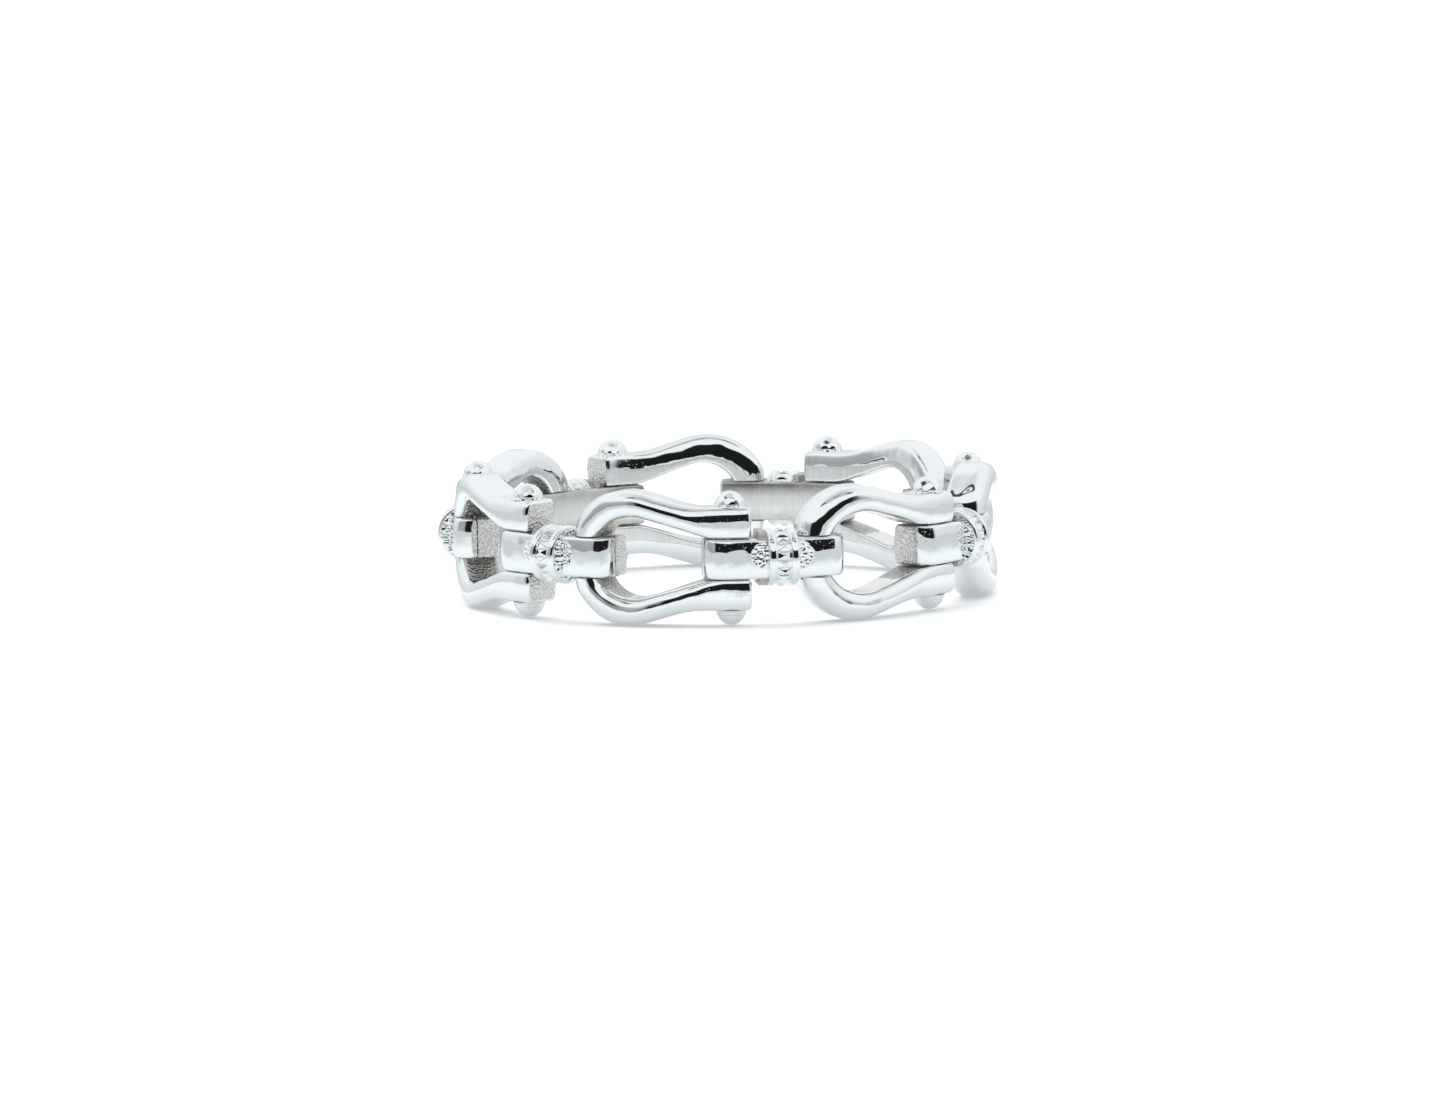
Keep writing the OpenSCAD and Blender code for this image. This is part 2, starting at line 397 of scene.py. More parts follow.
def make_bow():
    """The shackle: both arms, the journal at the crown, and the pin's hole through the ears."""
    arm, wall = bow_rings()
    journal = journal_rings(arm[-1])
    half = np.concatenate([arm, journal])
    half_wall = np.concatenate([wall, np.zeros(journal.shape[:2])])
    mirrored = half[::-1] * [1, 1, -1]
    rings = np.concatenate([half, mirrored[1:]])
    walls = np.concatenate([half_wall, half_wall[::-1][1:]])
    radius = np.linalg.norm(rings[:, :, :2], axis=-1)
    satin = 0.75 * (1 - smooth_step(FINGER_R + 0.001, FINGER_R + 0.008, radius))
    angle = np.arctan2(rings[:, :, 0], -rings[:, :, 1])
    place = angle * PIVOT_R
    pitted = 0.5 * (1 - smooth_step(0.9, 1.6, np.abs(place + 0.1)))
    rough_wall = np.maximum(1 - smooth_step(*ROUGH_CROWN, place), smooth_step(*ROUGH_EARS, place))
    satin = np.maximum(satin, 0.8 * walls * (1 - rough_wall))
    walls = walls * rough_wall
    opening_wall = walls * (1 - smooth_step(0.3, 0.6, place))
    # Painted shade, with some residue, on the opening's rough wall, deeper towards the finger, and a little over
    # the finger side
    dirt = 0.1 * satin + 0.6 * opening_wall * (0.5 + 0.5 * smooth_step(9.9, 9.2, radius))
    points, faces = skin(rings)
    bow = new_piece("bow_master", points, faces, {
        "cast": skin_finish(walls), "satin": skin_finish(satin), "stipple": skin_finish(0 * walls),
        "pits": skin_finish(pitted), "dirt": skin_finish(dirt)})
    bored(bow, PIN_R, 4.0, (0, -PIVOT_R, 0))
    return bow


# ---------------------------------------------------------------- the pin


def dome(base):
    """Outline of a head from its rim to its top as (distance, height above the ear)."""
    angle = np.linspace(0.12, 0.5 * math.pi, 30)
    shape = np.stack([HEAD_R * np.cos(angle), base + HEAD_R * np.sin(angle)], axis=-1)
    foot = np.array([[HEAD_R + HEAD_FLARE, base], [HEAD_R + 0.5 * HEAD_FLARE, base + 0.03]])
    return np.concatenate([foot, shape])


def hammered(points, side):
    """Flattens a head's dome where the peening hammer struck it. side is 1 for the upper head and -1
    for the lower one."""
    centre = np.array([0, -PIVOT_R, side * EAR_TOP])
    away = points - centre
    reach = np.linalg.norm(away, axis=1)
    turn = math.pi * (3 - math.sqrt(5))
    flat = reach.copy()
    for mark in range(HAMMER_MARKS):
        height = 0.12 + 0.86 * (mark + 0.5) / HAMMER_MARKS
        across = math.sqrt(1 - height**2)
        blow = [across * math.cos(turn * mark), across * math.sin(turn * mark), side * height]
        depth = 0.974 + 0.010 * math.sin(5.0 * mark)
        facing = away @ np.array(blow) / np.maximum(reach, 1e-9)
        flat = np.minimum(flat, np.where(facing > 0.7, HEAD_R * depth / np.maximum(facing, 0.7), reach))
    on_dome = np.abs(points[:, 2]) > EAR_TOP + 0.04
    scale = np.where(on_dome, flat / np.maximum(reach, 1e-9), 1.0)
    return centre + away * scale[:, None]


def make_head(name, outline, side, rough_height, foot):
    """A closed solid of revolution on the pin's axis, from an outline whose ends lie on the axis,
    with its head hammered on the given side. foot names the finish of the ring round the head's
    base, up to rough_height."""
    outline = outline[outline[:, 0] > 1e-6]
    angle = np.linspace(0, 2 * math.pi, AROUND, endpoint=False)
    rings = np.stack([np.stack([
        distance * np.cos(angle), distance * np.sin(angle) - PIVOT_R, height + 0 * angle,
    ], axis=-1) for distance, height in outline])
    points, faces = skin(rings)
    points = hammered(points, side)
    above = np.abs(points[:, 2]) - EAR_TOP
    ring = 1 - smooth_step(rough_height, rough_height + 0.10, above)
    finishes = {kind: 0 * ring for kind in ("cast", "satin", "stipple", "dirt")}
    finishes[foot] = ring
    return new_piece(name, points, faces, finishes | {"pits": 0.7 + 0 * ring})


def make_pin():
    """The cross pin with its upper head."""
    tip = -EAR_TOP - CAP_SOCKET
    shaft = [[1e-3, tip], [PIN_R - 0.03, tip], [PIN_R, tip + 0.03], [PIN_R, EAR_TOP]]
    return make_head("pin_master", np.concatenate([shaft, dome(EAR_TOP)]), 1, 0.05, "stipple")


def make_pin_cap():
    """The lower head, with the socket that holds the pin's end."""
    top = -EAR_TOP
    socket = [[1e-3, top - CAP_SOCKET], [PIN_R, top - CAP_SOCKET], [PIN_R, top]]
    head = dome(EAR_TOP) * [1, -1]
    return make_head("pin_cap_master", np.concatenate([socket, head]), -1, 0.12, "satin")


# ---------------------------------------------------------------- strap and eye


def block_section(low, high, inset, half, pillow, under):
    """Section of a strap or an eye half as (z, r), with a pillowed outside whose slope grows towards
    its long edges. under is (width, depth) of the rounding along its inner long edges."""
    half = half - inset
    inset = min(inset, 0.45 * (high - low))
    edge = min(0.10, 0.4 * (high - low - 2 * inset))
    inner = (min(under[0], 0.9 * half), min(under[1], edge), 2.0)
    corners = [inner, inner, (edge, edge, 2.0), (edge, edge, 2.0)]
    outline = rounded_outline(-half, half, low + inset, high - inset, corners, 10, 15)
    z, r = outline[:, 0], outline[:, 1]
    share = smooth_step(low, high, r)
    return z, r - pillow * share * np.abs(z / STRAP_HALF) ** 3


def beside_collar(side, r):
    """Arc length at which a collar face lies for each r."""
    return PIVOT_R * (math.radians(COLLAR_A) + np.arcsin(side * COLLAR_HALF / r))


def finger_satin(radius):
    """1 on a strap's finger side and 0 past the rounding of its edges."""
    return 1 - smooth_step(FINGER_R + 0.06, FINGER_R + 0.10, radius)


def edge_shade(height):
    """Painted shade on a strap's finger side: a darker reflection that grows from mid height to the long edges."""
    return 0.8 * smooth_step(0.20, 0.72, np.abs(height))


def make_block(name, stations, pillow, under=FINGER_EDGE, dirt=0.0):
    """A strap or an eye half lofted over stations of (u as a function of r, low, high, inset, half
    height, end). end is 1 on the rings of a cast face and 0 elsewhere."""
    rings, ends = [], []
    for place, low, high, inset, half, end in stations:
        z, r = block_section(low, high, inset, half, pillow, under)
        rings.append(wrap(place(r), z, r))
        ends.append(np.full(len(z), float(end)))
    rings, ends = np.array(rings), np.array(ends)
    radius = np.linalg.norm(rings[:, :, :2], axis=-1)
    height = np.abs(rings[:, :, 2])
    sides = smooth_step(0.94, 0.985, height / height.max(axis=1, keepdims=True))
    sides = sides * (1 - smooth_step(STRAP_R - 0.35, STRAP_R - 0.15, radius))
    satin = finger_satin(radius) * (1 - ends)
    arc_length = np.arctan2(rings[:, :, 0], -rings[:, :, 1]) * PIVOT_R
    from_collar = np.abs(arc_length - math.radians(COLLAR_A) * PIVOT_R) - COLLAR_HALF
    reach = np.hypot(from_collar, rings[:, :, 2] - 0.15)
    outside = smooth_step(STRAP_R - 0.5, STRAP_R - 0.2, radius)
    stipple = outside * (1 - smooth_step(0.34, 0.66, reach))
    # Painted shade: the finger side darkens towards its long edges, and the side walls beside the bows get painted
    # shade, partly residue
    satin_shade = satin * edge_shade(rings[:, :, 2])
    points, faces = skin(rings)
    return new_piece(name, points, faces, {
        "cast": skin_finish(np.maximum(ends, sides)),
        "satin": skin_finish(satin),
        "stipple": skin_finish(stipple),
        "pits": skin_finish(0 * satin + 0.6 * outside),
        "dirt": skin_finish(np.maximum(0.6 * sides * (1 - ends) + dirt, satin_shade))})


def corner_high(rounding):
    """The outer radius near a free end, as a function of the distance from the end, for a quarter
    ellipse of (length, radial depth)."""
    length, depth = rounding

    def high(distance):
        inside = min(max(length - distance, 0), length) / length
        return STRAP_R - depth + depth * math.sqrt(1 - inside**2)

    return high


def straight(u):
    """A station place that doesn't depend on r."""
    return lambda r: u + 0 * r


def plan_round(distance):
    """How much a free end's plan corners take off the strap's half height."""
    inside = min(max(PLAN_ROUND - distance, 0), PLAN_ROUND) / PLAN_ROUND
    return PLAN_ROUND * (1 - math.sqrt(1 - inside**2))


def free_end(end_u, away, low, high_at, length, rim):
    """Stations of a free end: cap rings, a rounded rim, then the outer corner. away is 1 when the
    block lies towards larger u, and high_at gives the outer radius by distance from the end."""
    stations = []
    cap_half = STRAP_HALF - plan_round(rim)
    for inset in CAP_INSETS:
        stations.append((straight(end_u), low, high_at(rim), inset, cap_half, 1))
    for turn in np.linspace(0.5 * math.pi, 0, 6, endpoint=False):
        shift, inset = rim * (1 - math.sin(turn)), rim * (1 - math.cos(turn))
        high = high_at(rim) + (high_at(shift) - high_at(rim)) * (1 - math.sin(turn))
        stations.append((straight(end_u + away * shift), low, high, inset, cap_half, 1))
    for distance in rim + (length - rim) * (1 - np.cos(np.linspace(0, 0.5 * math.pi, 26))):
        half = STRAP_HALF - plan_round(distance)
        end = 1 - smooth_step(rim, rim + 0.03, distance)
        stations.append((straight(end_u + away * distance), low, high_at(distance), 0.0, half, end))
    return stations


def make_tang():
    """The strap between the ears, bored to turn on the pin."""
    length = TANG_ROUND[0]
    stations = free_end(TANG_END_U, 1, FINGER_R, corner_high(TANG_ROUND), length, 0.014)
    start = TANG_END_U + length
    for share in np.linspace(0, 1, 30)[1:]:
        def place(r, share=share):
            return start + share * (beside_collar(-1, r) - start)
        stations.append((place, FINGER_R, STRAP_R, 0.0, STRAP_HALF, 0))
    tang = make_block("tang_master", stations, PILLOW)
    bored(tang, PIN_R + RUNNING_GAP, 2.0, (0, -PIVOT_R, 0))
    return tang


def make_neck():
    """The strap's taller neck beside the collar, left as cast."""
    low, high = FINGER_R + 0.1, STRAP_R - 0.02
    stations = [(straight(NECK_U), low, high, inset, NECK_HALF, 1) for inset in (0.3, 0.2, 0.1)]
    for turn in np.linspace(0.5 * math.pi, 0, 5):
        shift, inset = 0.06 * (1 - math.sin(turn)), 0.06 * (1 - math.cos(turn))
        stations.append((straight(NECK_U + shift), low, high, inset, NECK_HALF, 1))
    stations.append((lambda r: beside_collar(-1, r) + 0.05, low, high, 0.0, NECK_HALF, 1))
    # The neck's cast faces get painted shade, partly residue, where it sits between the ears and the collar
    return make_block("neck_master", stations, PILLOW, SEAM_EDGE, 0.5)


def split_radius(u):
    """Distance from the band's axis of the plane that splits the eye, at an arc length."""
    return PIVOT_R / np.cos(u / PIVOT_R - math.radians(EYE_A))


def bore_reach(u):
    """Half height of the crown bore above the splitting plane at an arc length."""
    beside = split_radius(u) * np.sin(u / PIVOT_R - math.radians(EYE_A))
    return np.sqrt(np.maximum((JOURNAL_R + RUNNING_GAP) ** 2 - beside**2, 0))


def eye_stations(low_at, high_at, corner, rim):
    """Stations from the eye's free end back to the collar, with closer ones at the bore's edges."""
    end_u = math.radians(EYE_END_A) * PIVOT_R
    length = EYE_ROUND[0]
    stations = []
    for place, _, high, inset, half, end in free_end(end_u, -1, FINGER_R, corner, length, rim):
        u = float(np.mean(place(np.array([STRAP_R]))))
        stations.append((place, low_at(u), min(high, high_at(u)), inset, half, end))
    centre = math.radians(EYE_A) * PIVOT_R
    bore = JOURNAL_R + RUNNING_GAP
    for u in centre + bore * 1.002 * np.cos(np.linspace(0, math.pi, 41)):
        stations.append((straight(u), low_at(u), high_at(u), 0.0, STRAP_HALF, 0))
    last = centre - bore * 1.002
    for share in np.linspace(0, 1, 8)[1:]:
        def place(r, share=share):
            return last + share * (beside_collar(1, r) - last)
        u = float(place(np.array([PIVOT_R]))[0])
        stations.append((place, low_at(u), high_at(u), 0.0, STRAP_HALF, 0))
    return stations


def make_saddle():
    """The outer half of the eye."""
    stations = eye_stations(
        lambda u: split_radius(u) + SEAM + bore_reach(u), lambda u: STRAP_R,
        corner_high(EYE_ROUND), 0.02)
    return make_block("saddle_master", stations, PILLOW, SEAM_EDGE)


def make_keeper():
    """The inner half of the eye, next to the finger."""
    stations = eye_stations(
        lambda u: FINGER_R, lambda u: split_radius(u) - bore_reach(u),
        lambda distance: STRAP_R, 0.07)
    return make_block("keeper_master", stations, 0.0)


# ---------------------------------------------------------------- the collar


def collar_profile():
    """Closed outline of the collar's wall as (distance from its axis, place along it)."""
    rim, channel = RIM_W, COLLAR_R - CHANNEL_DEPTH
    angle = np.linspace(0, math.pi, 17)
    crown = 0.5 * rim
    first = np.stack([COLLAR_R - CHEEK_HEIGHT + CHEEK_HEIGHT * np.sin(angle) ** 0.8,
                      -COLLAR_HALF + crown - crown * np.cos(angle)], axis=-1)
    floor = line((channel, -COLLAR_HALF + rim), (channel, COLLAR_HALF - rim), 20)
    second = first[::-1] * [1, -1]
    outside = COLLAR_R - FACE_STEP
    face = line((outside, COLLAR_HALF), (SPIGOT_R, COLLAR_HALF), 6)
    other_face = line((SPIGOT_R, -COLLAR_HALF), (outside, -COLLAR_HALF), 6)
    bore_edge, rim_edge = [[SPIGOT_R, COLLAR_HALF]], [[outside, -COLLAR_HALF]]
    return np.concatenate([first, floor[1:], second, face, bore_edge, other_face, rim_edge])


def bead_height(along, around_angle):
    """Height of the bright-cut beads over the channel's floor: four flat cuts that meet at a point."""
    pitch = 2 * math.pi / BEADS
    beside = np.mod(around_angle, pitch) / pitch * 2 - 1
    x, y = np.abs(along) / (COLLAR_HALF - RIM_W), np.abs(beside)
    return BEAD_HEIGHT * np.clip(1.06 - np.maximum(x, y), 0, 0.94)


def make_bridge():
    """The strap's finger side carried on through the collar."""
    rings = []
    for share in np.linspace(0, 1, 9):
        z, r = block_section(FINGER_R, FINGER_R + BRIDGE_T, 0.0, STRAP_HALF, 0.0, FINGER_EDGE)
        first, last = beside_collar(-1, r), beside_collar(1, r)
        rings.append(wrap(first + share * (last - first), z, r))
    rings = np.array(rings)
    radius = np.linalg.norm(rings[:, :, :2], axis=-1)
    satin = finger_satin(radius)
    points, faces = skin(rings)
    # Painted shade: the finger side darkens towards its long edges
    return new_piece("bridge_master", points, faces, {
        "cast": skin_finish(smooth_step(FINGER_R + 0.08, FINGER_R + 0.12, radius)),
        "satin": skin_finish(satin), "stipple": skin_finish(0 * satin), "pits": skin_finish(0 * satin),
        "dirt": skin_finish(edge_shade(rings[:, :, 2]))})


def make_collar():
    """The collar: two plain rims and a channel of bright-cut beads, cut off inside the bridge."""
    profile = collar_profile()
    around = BEADS * 20
    angle = np.linspace(0, 2 * math.pi, around, endpoint=False)
    distance = np.repeat(profile[None, :, 0], around, axis=0)
    along = np.repeat(profile[None, :, 1], around, axis=0)
    in_channel = np.abs(distance - (COLLAR_R - CHANNEL_DEPTH)) < 1e-6
    beads = bead_height(along, angle[:, None]) * in_channel
    distance = distance + beads
    on_face = (np.abs(along) > COLLAR_HALF - 1e-6) & (distance < COLLAR_R - 0.11)
    cosine, sine = np.cos(angle)[:, None], np.sin(angle)[:, None]
    points = np.stack([along, -COLLAR_AXIS_R - distance * cosine, distance * sine], axis=-1)
    turn = math.radians(COLLAR_A)
    x, y = points[..., 0].copy(), points[..., 1].copy()
    points[..., 0] = x * math.cos(turn) - y * math.sin(turn)
    points[..., 1] = x * math.sin(turn) + y * math.cos(turn)
    radius = np.linalg.norm(points[..., :2], axis=-1)
    covered = FINGER_R + 0.5 * BRIDGE_T
    points[..., :2] *= (np.maximum(radius, covered) / radius)[..., None]
    points, faces = torus_faces(points)
    # The valleys between the beads are cast and get painted shade, partly residue
    valley = (in_channel * smooth_step(0.045, 0.0, beads)).ravel()
    return new_piece("collar_master", points, faces, {
        "cast": 0.55 * valley, "satin": 0 * valley, "stipple": 1.0 * on_face.ravel(),
        "pits": 0 * valley, "dirt": 0.8 * valley})


# ---------------------------------------------------------------- materials


# Colours of each finish, and the height in metres that a bump value of 1 stands for
POLISHED_TINT = (0.868, 0.900, 0.910, 1)
CAST_LIGHT, CAST_DARK = (1.0, 1.0, 0.985, 1), (0.66, 0.65, 0.63, 1)
# Recess colour: partly polishing residue, partly painted shade where occlusion and dark reflections fall in
# recesses and between parts
DIRT_AND_SHADE_LIGHT, DIRT_AND_SHADE_DARK = (0.40, 0.375, 0.345, 1), (0.20, 0.18, 0.16, 1)
SATIN_LIGHT, SATIN_DARK = (0.93, 0.935, 0.94, 1), (0.84, 0.835, 0.825, 1)
# Painted shade: a darker, greyer reflection painted along a satin strap's long edges
SATIN_SHADE = (0.42, 0.405, 0.39, 1)
BUMP_UNIT = 0.03 * MM


def add(tree, kind, inputs=None, **settings):
    """A shader node with its inputs linked or set."""
    made = tree.nodes.new(kind)
    for name, value in settings.items():
        setattr(made, name, value)
    for socket, value in (inputs or {}).items():
        if isinstance(value, bpy.types.NodeSocket):
            tree.links.new(value, made.inputs[socket])
        else:
            made.inputs[socket].default_value = value
    return made


def calc(tree, operation, *values):
    """The output of a Math node."""
    return add(tree, "ShaderNodeMath", dict(enumerate(values)), operation=operation).outputs[0]


def ramp(tree, value, low, high, to_low=0.0, to_high=1.0):
    """A smooth ramp of value from low to high."""
    return add(tree, "ShaderNodeMapRange", {
        "Value": value, "From Min": low, "From Max": high, "To Min": to_low, "To Max": to_high,
    }, interpolation_type="SMOOTHSTEP").outputs["Result"]


def blend_color(tree, share, first, second):
    """The first colour at a share of 0 and the second at 1."""
    return add(tree, "ShaderNodeMix", {0: share, 6: first, 7: second}, data_type="RGBA").outputs[2]


def noise(tree, place, scale, detail=2.0, roughness=0.5):
    """Cloudy noise, about 0.5 on average."""
    return add(tree, "ShaderNodeTexNoise", {
        "Vector": place, "Scale": scale, "Detail": detail, "Roughness": roughness,
    }).outputs["Fac"]


def scaled(tree, place, factors):
    """A place stretched by a factor along each axis."""
    return add(tree, "ShaderNodeVectorMath", {0: place, 1: factors}, operation="MULTIPLY").outputs[0]


def cells(tree, place, scale):
    """Distance to the nearest of a scatter of points."""
    made = add(tree, "ShaderNodeTexVoronoi", {"Vector": place, "Scale": scale})
    return made.outputs["Distance"]


def blend(tree, share, first, second):
    """The first value at a share of 0 and the second at 1."""
    return add(tree, "ShaderNodeMix", {0: share, 2: first, 3: second}, data_type="FLOAT").outputs[0]


def total(tree, *values):
    """The sum of several values."""
    result = values[0]
    for value in values[1:]:
        result = calc(tree, "ADD", result, value)
    return result


def product(tree, *values):
    """The product of several values."""
    result = values[0]
    for value in values[1:]:
        result = calc(tree, "MULTIPLY", result, value)
    return result


def silver(name, scratch=0.5, wave=0.5, facet=0.0):
    """Polished silver that turns to grained casting, brushed satin or pitted stipple where the
    mesh's finish attributes say so. scratch is the strength of the polish's scratches and smudges,
    wave of its slow waviness, and facet of its hammered facets."""
    material = bpy.data.materials.new(name)
    material.use_nodes = True
    tree = material.node_tree
    tree.nodes.clear()
    place = scaled(tree, add(tree, "ShaderNodeTexCoord").outputs["Object"], (1000, 1000, 1000))
    upright = scaled(tree, place, (1, 1, 0.05))
    level = scaled(tree, place, (1, 1, 14))
    finish = {kind: add(tree, "ShaderNodeAttribute", attribute_name=kind).outputs["Fac"]
              for kind in ("cast", "satin", "stipple", "pits", "dirt")}
    ragged = noise(tree, place, 6.0, 3.0)

    def mask(kind, spread):
        shift = calc(tree, "MULTIPLY", calc(tree, "SUBTRACT", ragged, 0.5), spread)
        return ramp(tree, calc(tree, "ADD", finish[kind], shift), 0.40, 0.60)

    cast, satin, stipple = mask("cast", 0.5), mask("satin", 0.15), mask("stipple", 0.9)

    grain = cells(tree, place, 9.0)
    fine = noise(tree, place, 24.0, 3.0, 0.65)
    brushed = noise(tree, upright, 22.0, 3.0, 0.6)
    broad = noise(tree, place, 1.2, 1.0)
    smudge = noise(tree, place, 1.7, 4.0, 0.6)
    lines = noise(tree, level, 3.0, 5.0, 0.7)
    specks = cells(tree, place, 7.0)

    cast_color = blend_color(tree, ramp(tree, fine, 0.36, 0.64), CAST_DARK, CAST_LIGHT)
    # Painted shade, partly residue, darkens cast recesses; painted shade also dulls the satin towards a strap's
    # long edges
    dirt_and_shade_color = blend_color(tree, ramp(tree, fine, 0.36, 0.68), DIRT_AND_SHADE_DARK, DIRT_AND_SHADE_LIGHT)
    cast_color = blend_color(tree, finish["dirt"], cast_color, dirt_and_shade_color)
    satin_color = blend_color(tree, ramp(tree, brushed, 0.35, 0.65), SATIN_DARK, SATIN_LIGHT)
    satin_shade = calc(tree, "MULTIPLY", finish["dirt"], ramp(tree, smudge, 0.30, 0.66, 0.35, 1.0))
    satin_color = blend_color(tree, satin_shade, satin_color, SATIN_SHADE)
    color = blend_color(tree, satin, POLISHED_TINT, satin_color)
    pit = ramp(tree, cells(tree, place, 11.0), 0.08, 0.26, 1.0, 0.0)
    pit = product(tree, pit, ramp(tree, ragged, 0.48, 0.56), finish["pits"])
    color = blend_color(tree, cast, color, cast_color)

    rough = ramp(tree, smudge, 0.45, 0.75, 0.03, 0.03 + 0.08 * scratch)
    rough = blend(tree, satin, rough, 0.32)
    rough = blend(tree, stipple, rough, 0.05)
    rough = blend(tree, cast, rough, 0.26)

    polished_height = total(
        tree, calc(tree, "MULTIPLY", broad, wave), calc(tree, "MULTIPLY", lines, 0.006 * scratch),
        calc(tree, "MULTIPLY", pit, -0.22), calc(tree, "MULTIPLY", cells(tree, place, 2.8), facet))
    cast_height = total(tree, calc(tree, "MULTIPLY", grain, 1.7), calc(tree, "MULTIPLY", fine, 0.7))
    satin_height = calc(tree, "MULTIPLY", brushed, 0.06)
    height = blend(tree, satin, polished_height, satin_height)
    height = total(tree, height, product(tree, specks, 1.9, stipple))
    height = blend(tree, cast, height, cast_height)
    bump = add(tree, "ShaderNodeBump", {"Height": height, "Distance": BUMP_UNIT, "Strength": 1.0})

    shader = add(tree, "ShaderNodeBsdfPrincipled", {
        "Base Color": color, "Metallic": 1.0, "Roughness": rough, "Normal": bump.outputs[0]})
    add(tree, "ShaderNodeOutputMaterial", {"Surface": shader.outputs[0]})
    return material


# ---------------------------------------------------------------- build


PARTS = {
    "bow": (make_bow, "shackle", "polished_bow"),
    "pin": (make_pin, "shackle", "polished_pin"),
    "pin_cap": (make_pin_cap, "shackle", "polished_pin"),
    "tang": (make_tang, "link", "cast_strap"),
    "neck": (make_neck, "link", "cast_strap"),
    "collar": (make_collar, "link", "beaded_collar"),
    "bridge": (make_bridge, "link", "beaded_collar"),
    "saddle": (make_saddle, "link", "cast_strap"),
    "keeper": (make_keeper, "link", "satin_keeper"),
}

MATERIALS = {
    "polished_bow": silver("silver_bow", scratch=0.6, wave=1.3),
    "polished_pin": silver("silver_pin", scratch=0.8, wave=0.2, facet=0.25),
    "cast_strap": silver("silver_strap", scratch=0.8, wave=1.5),
    "beaded_collar": silver("silver_collar", scratch=0.3, wave=0.2),
    "satin_keeper": silver("silver_keeper", scratch=1.0),
}

for part, (make, body, slot) in PARTS.items():
    master = make()
    for unit in range(1, UNITS + 1):
        piece = turned_copy(master, f"silver_{part}_{unit}", (unit - 1) * PITCH)
        piece.data.materials.append(MATERIALS[slot])
        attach(piece, f"{body}_{unit}")
        if f"{part}_{unit}" in frame["nodes"]:
            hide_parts(f"{part}_{unit}")
    bpy.data.objects.remove(master)


# ---------------------------------------------------------------- studio


STUDIO_TINT = (0.97, 0.99, 1.0, 1)

# The floor: half its side in metres, its own colour, and the colours that the polish mirrors close
# to the band and further away. FLOOR_GLOW is its glow as seen, mirrored close by and mirrored far
# away, and FLOOR_FADE is where the close colour turns into the far one, in metres.
FLOOR_HALF = 3.0
FLOOR_TINT = (0.84, 0.855, 0.86, 1)
FLOOR_NEAR, FLOOR_FAR = (0.44, 0.45, 0.455, 1), (0.28, 0.295, 0.30, 1)
FLOOR_GLOW = (0.20, 0.40, 0.26)
FLOOR_FADE = (15 * MM, 34 * MM)

# The overhead light: its strength, its width in degrees and the way it is turned, in degrees
OVERHEAD_STRENGTH, OVERHEAD_WIDTH = 0.70 * math.pi, 70
OVERHEAD_TURN = (-12, -8, 0)


def make_floor():
    """A plain pale floor that the band rests on. Polished metal sees it a little darker than the
    camera does, as a satin acrylic sheet looks from low down."""
    mesh = bpy.data.meshes.new("floor")
    half, z = FLOOR_HALF, cad_low.z - 0.02 * MM
    corners = [(-half, -half, z), (half, -half, z), (half, half, z), (-half, half, z)]
    mesh.from_pydata(corners, [], [(0, 1, 2, 3)])
    floor = bpy.data.objects.new("floor", mesh)
    bpy.context.scene.collection.objects.link(floor)
    material = bpy.data.materials.new("pale_floor")
    material.use_nodes = True
    tree = material.node_tree
    tree.nodes.clear()
    place = add(tree, "ShaderNodeTexCoord").outputs["Object"]
    away = add(tree, "ShaderNodeVectorMath", {0: place}, operation="LENGTH").outputs["Value"]
    far = ramp(tree, away, *FLOOR_FADE)
    mirrored = add(tree, "ShaderNodeLightPath").outputs["Is Glossy Ray"]
    color = blend_color(tree, mirrored, FLOOR_TINT, blend_color(tree, far, FLOOR_NEAR, FLOOR_FAR))
    seen, near, distant = FLOOR_GLOW
    glow = blend(tree, mirrored, seen, blend(tree, far, near, distant))
    shader = add(tree, "ShaderNodeAddShader", {
        0: add(tree, "ShaderNodeBsdfDiffuse", {"Color": color}).outputs[0],
        1: add(tree, "ShaderNodeEmission", {"Color": STUDIO_TINT, "Strength": glow}).outputs[0]})
    add(tree, "ShaderNodeOutputMaterial", {"Surface": shader.outputs[0]})
    mesh.materials.append(material)


def make_overhead():
    """A broad soft light from above that fills the floor and leaves no mark in the polish."""
    data = bpy.data.lights.new("overhead", "SUN")
    data.energy = OVERHEAD_STRENGTH
    data.angle = math.radians(OVERHEAD_WIDTH)
    light = bpy.data.objects.new("overhead", data)
    light.rotation_euler = [math.radians(turn) for turn in OVERHEAD_TURN]
    light.visible_glossy = False
    bpy.context.scene.collection.objects.link(light)


def window(tree, value, centre, half, soft):
    """1 within half of centre, falling to 0 over soft."""
    away = calc(tree, "ABSOLUTE", calc(tree, "SUBTRACT", value, centre))
    return ramp(tree, away, half - soft, half + soft, 1.0, 0.0)


# Zones of the studio as (centre, half, soft) in degrees of height and of side from the camera's
# side, and how much light each takes away
SLOT_RISE, SLOT_SIDE, SLOT_DEPTH = (13.5, 15.5, 2.0), (8.0, 50.0, 8.0), 0.985
GREY_RISE, GREY_SIDE, GREY_DEPTH = (8.0, 20.0, 9.0), (-68.0, 26.0, 10.0), 0.52

# How the walls brighten and the ceiling dims as (from, to, level before, level after) in degrees of
# height
LOW_WALL, CEILING = (2.0, 30.0, 0.80, 1.0), (55.0, 78.0, 1.0, 0.76)

# The ring lamp's dark body: its half sizes and its shift towards the camera for a height of 1, and
# its hoop and hub as (centre, half, soft) in those half sizes
LAMP_HALF_X, LAMP_HALF_Y, LAMP_SHIFT = 0.50, 0.15, 0.30
HOOP, HUB, LAMP_DEPTH = (1.0, 0.24, 0.10), (0.0, 0.26, 0.08), 0.92


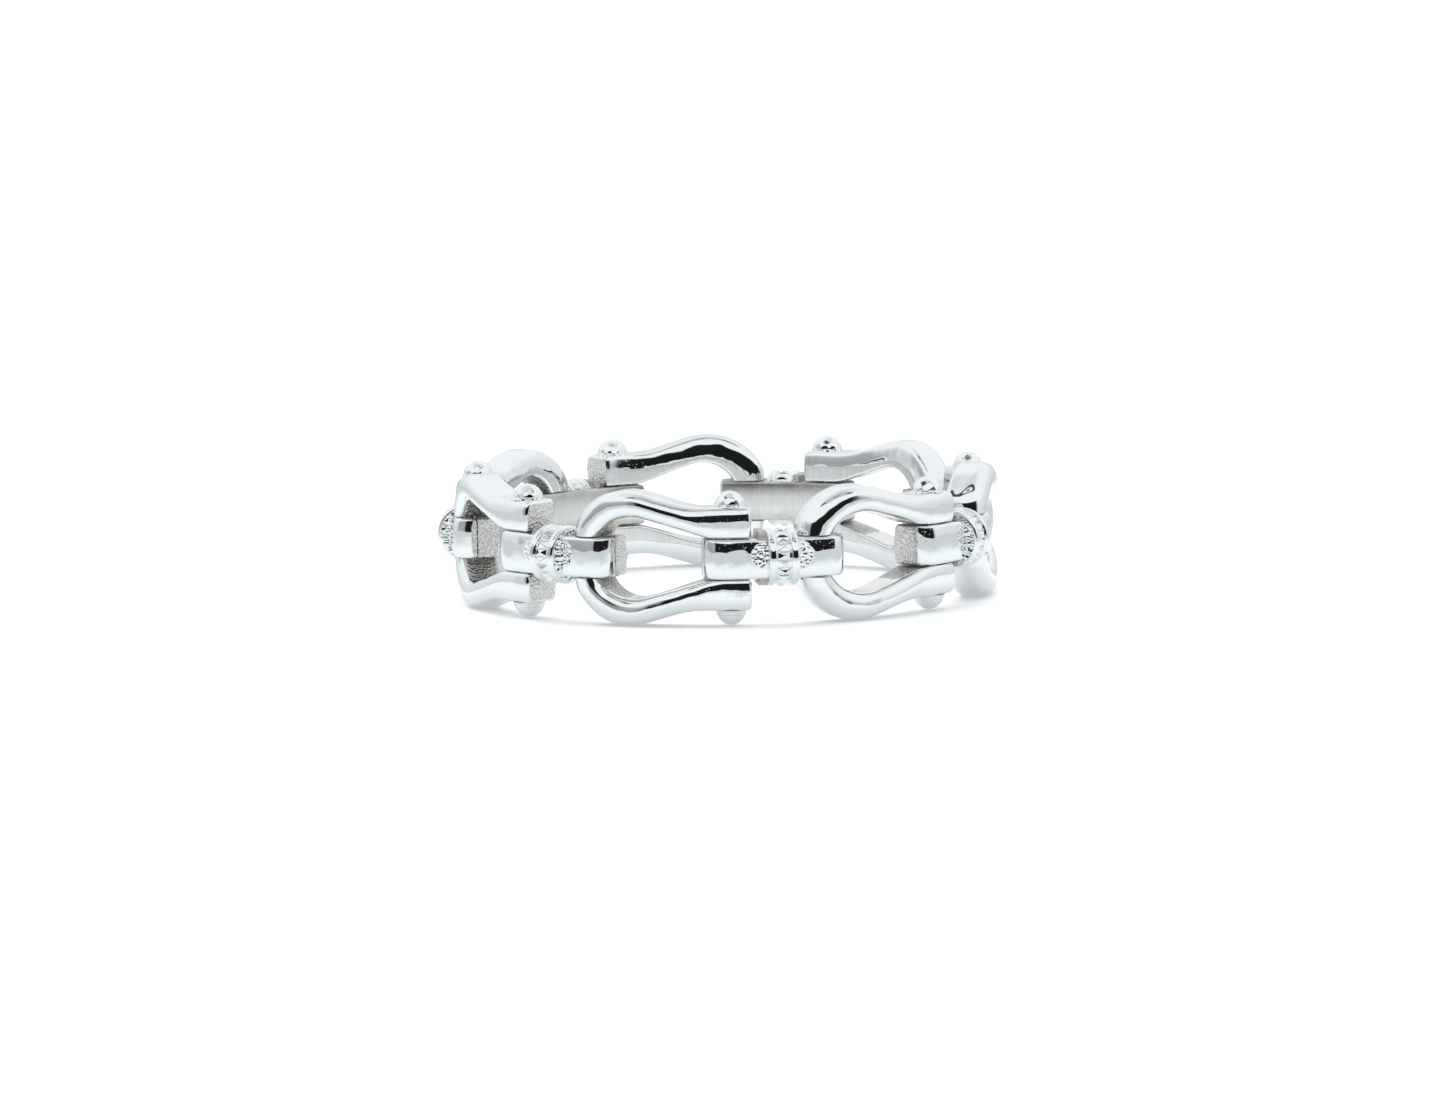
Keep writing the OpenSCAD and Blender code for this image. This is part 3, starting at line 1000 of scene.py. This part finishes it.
def make_world():
    """A white studio: bright walls, a softer ceiling, a dark gap behind the camera above table
    height, a greyer wall on the left, and a dark hoop and hub overhead, where a ring lamp hangs."""
    world = bpy.data.worlds.new("studio")
    bpy.context.scene.world = world
    world.use_nodes = True
    tree = world.node_tree
    tree.nodes.clear()
    direction = add(tree, "ShaderNodeTexCoord").outputs["Generated"]
    split = add(tree, "ShaderNodeSeparateXYZ", {0: direction})
    x, y, z = split.outputs
    rise = calc(tree, "DEGREES", calc(tree, "ARCSINE", z))
    side = calc(tree, "DEGREES", calc(tree, "ARCTAN2", x, calc(tree, "MULTIPLY", y, -1.0)))
    slot = product(tree, window(tree, rise, *SLOT_RISE), window(tree, side, *SLOT_SIDE))
    grey = product(tree, window(tree, rise, *GREY_RISE), window(tree, side, *GREY_SIDE))
    above = calc(tree, "MAXIMUM", z, 0.05)
    across = calc(tree, "DIVIDE", calc(tree, "DIVIDE", x, above), LAMP_HALF_X)
    along = total(tree, calc(tree, "DIVIDE", y, above), LAMP_SHIFT)
    along = calc(tree, "DIVIDE", along, LAMP_HALF_Y)
    squares = total(tree, calc(tree, "POWER", across, 2.0), calc(tree, "POWER", along, 2.0))
    spread = calc(tree, "SQRT", squares)
    lamp = calc(tree, "MAXIMUM", window(tree, spread, *HOOP), window(tree, spread, *HUB))
    lamp = product(tree, ramp(tree, z, 0.55, 0.65), lamp)
    level = product(tree, ramp(tree, rise, *LOW_WALL), ramp(tree, rise, *CEILING))
    for mark, depth in ((slot, SLOT_DEPTH), (grey, GREY_DEPTH), (lamp, LAMP_DEPTH)):
        kept = calc(tree, "SUBTRACT", 1.0, calc(tree, "MULTIPLY", mark, depth))
        level = product(tree, level, kept)
    background = add(tree, "ShaderNodeBackground", {"Color": STUDIO_TINT, "Strength": level})
    add(tree, "ShaderNodeOutputWorld", {"Surface": background.outputs[0]})


# The camera: the view's width and the distance in pivot circle radii, then azimuth, elevation and
# roll in degrees, and the lens shift as shares of the view's width
VIEW_WIDTH, CAMERA_DISTANCE = 5.7319, 50.07
CAMERA_TURNS = (-1.065, 6.685, -0.931)
CAMERA_SHIFT = (-0.0018, -0.01675)
SENSOR_WIDTH = 36


def make_camera():
    """A long lens a little above the table, in front and slightly left."""
    distance = CAMERA_DISTANCE * PIVOT_R * MM
    azimuth, elevation, roll = (math.radians(turn) for turn in CAMERA_TURNS)
    data = bpy.data.cameras.new("camera")
    data.sensor_width = SENSOR_WIDTH
    data.lens = SENSOR_WIDTH * CAMERA_DISTANCE / VIEW_WIDTH
    data.shift_x, data.shift_y = CAMERA_SHIFT
    data.clip_start, data.clip_end = 0.05, 20
    camera = bpy.data.objects.new("camera", data)
    flat, rise = distance * math.cos(elevation), distance * math.sin(elevation)
    camera.location = (flat * math.sin(azimuth), -flat * math.cos(azimuth), rise)
    camera.rotation_euler = (0.5 * math.pi - elevation, 0, azimuth)
    camera.rotation_euler.rotate_axis("Z", roll)
    bpy.context.scene.collection.objects.link(camera)
    bpy.context.scene.camera = camera


make_floor()
make_overhead()
make_world()
make_camera()
bpy.context.scene.view_settings.view_transform = "Standard"
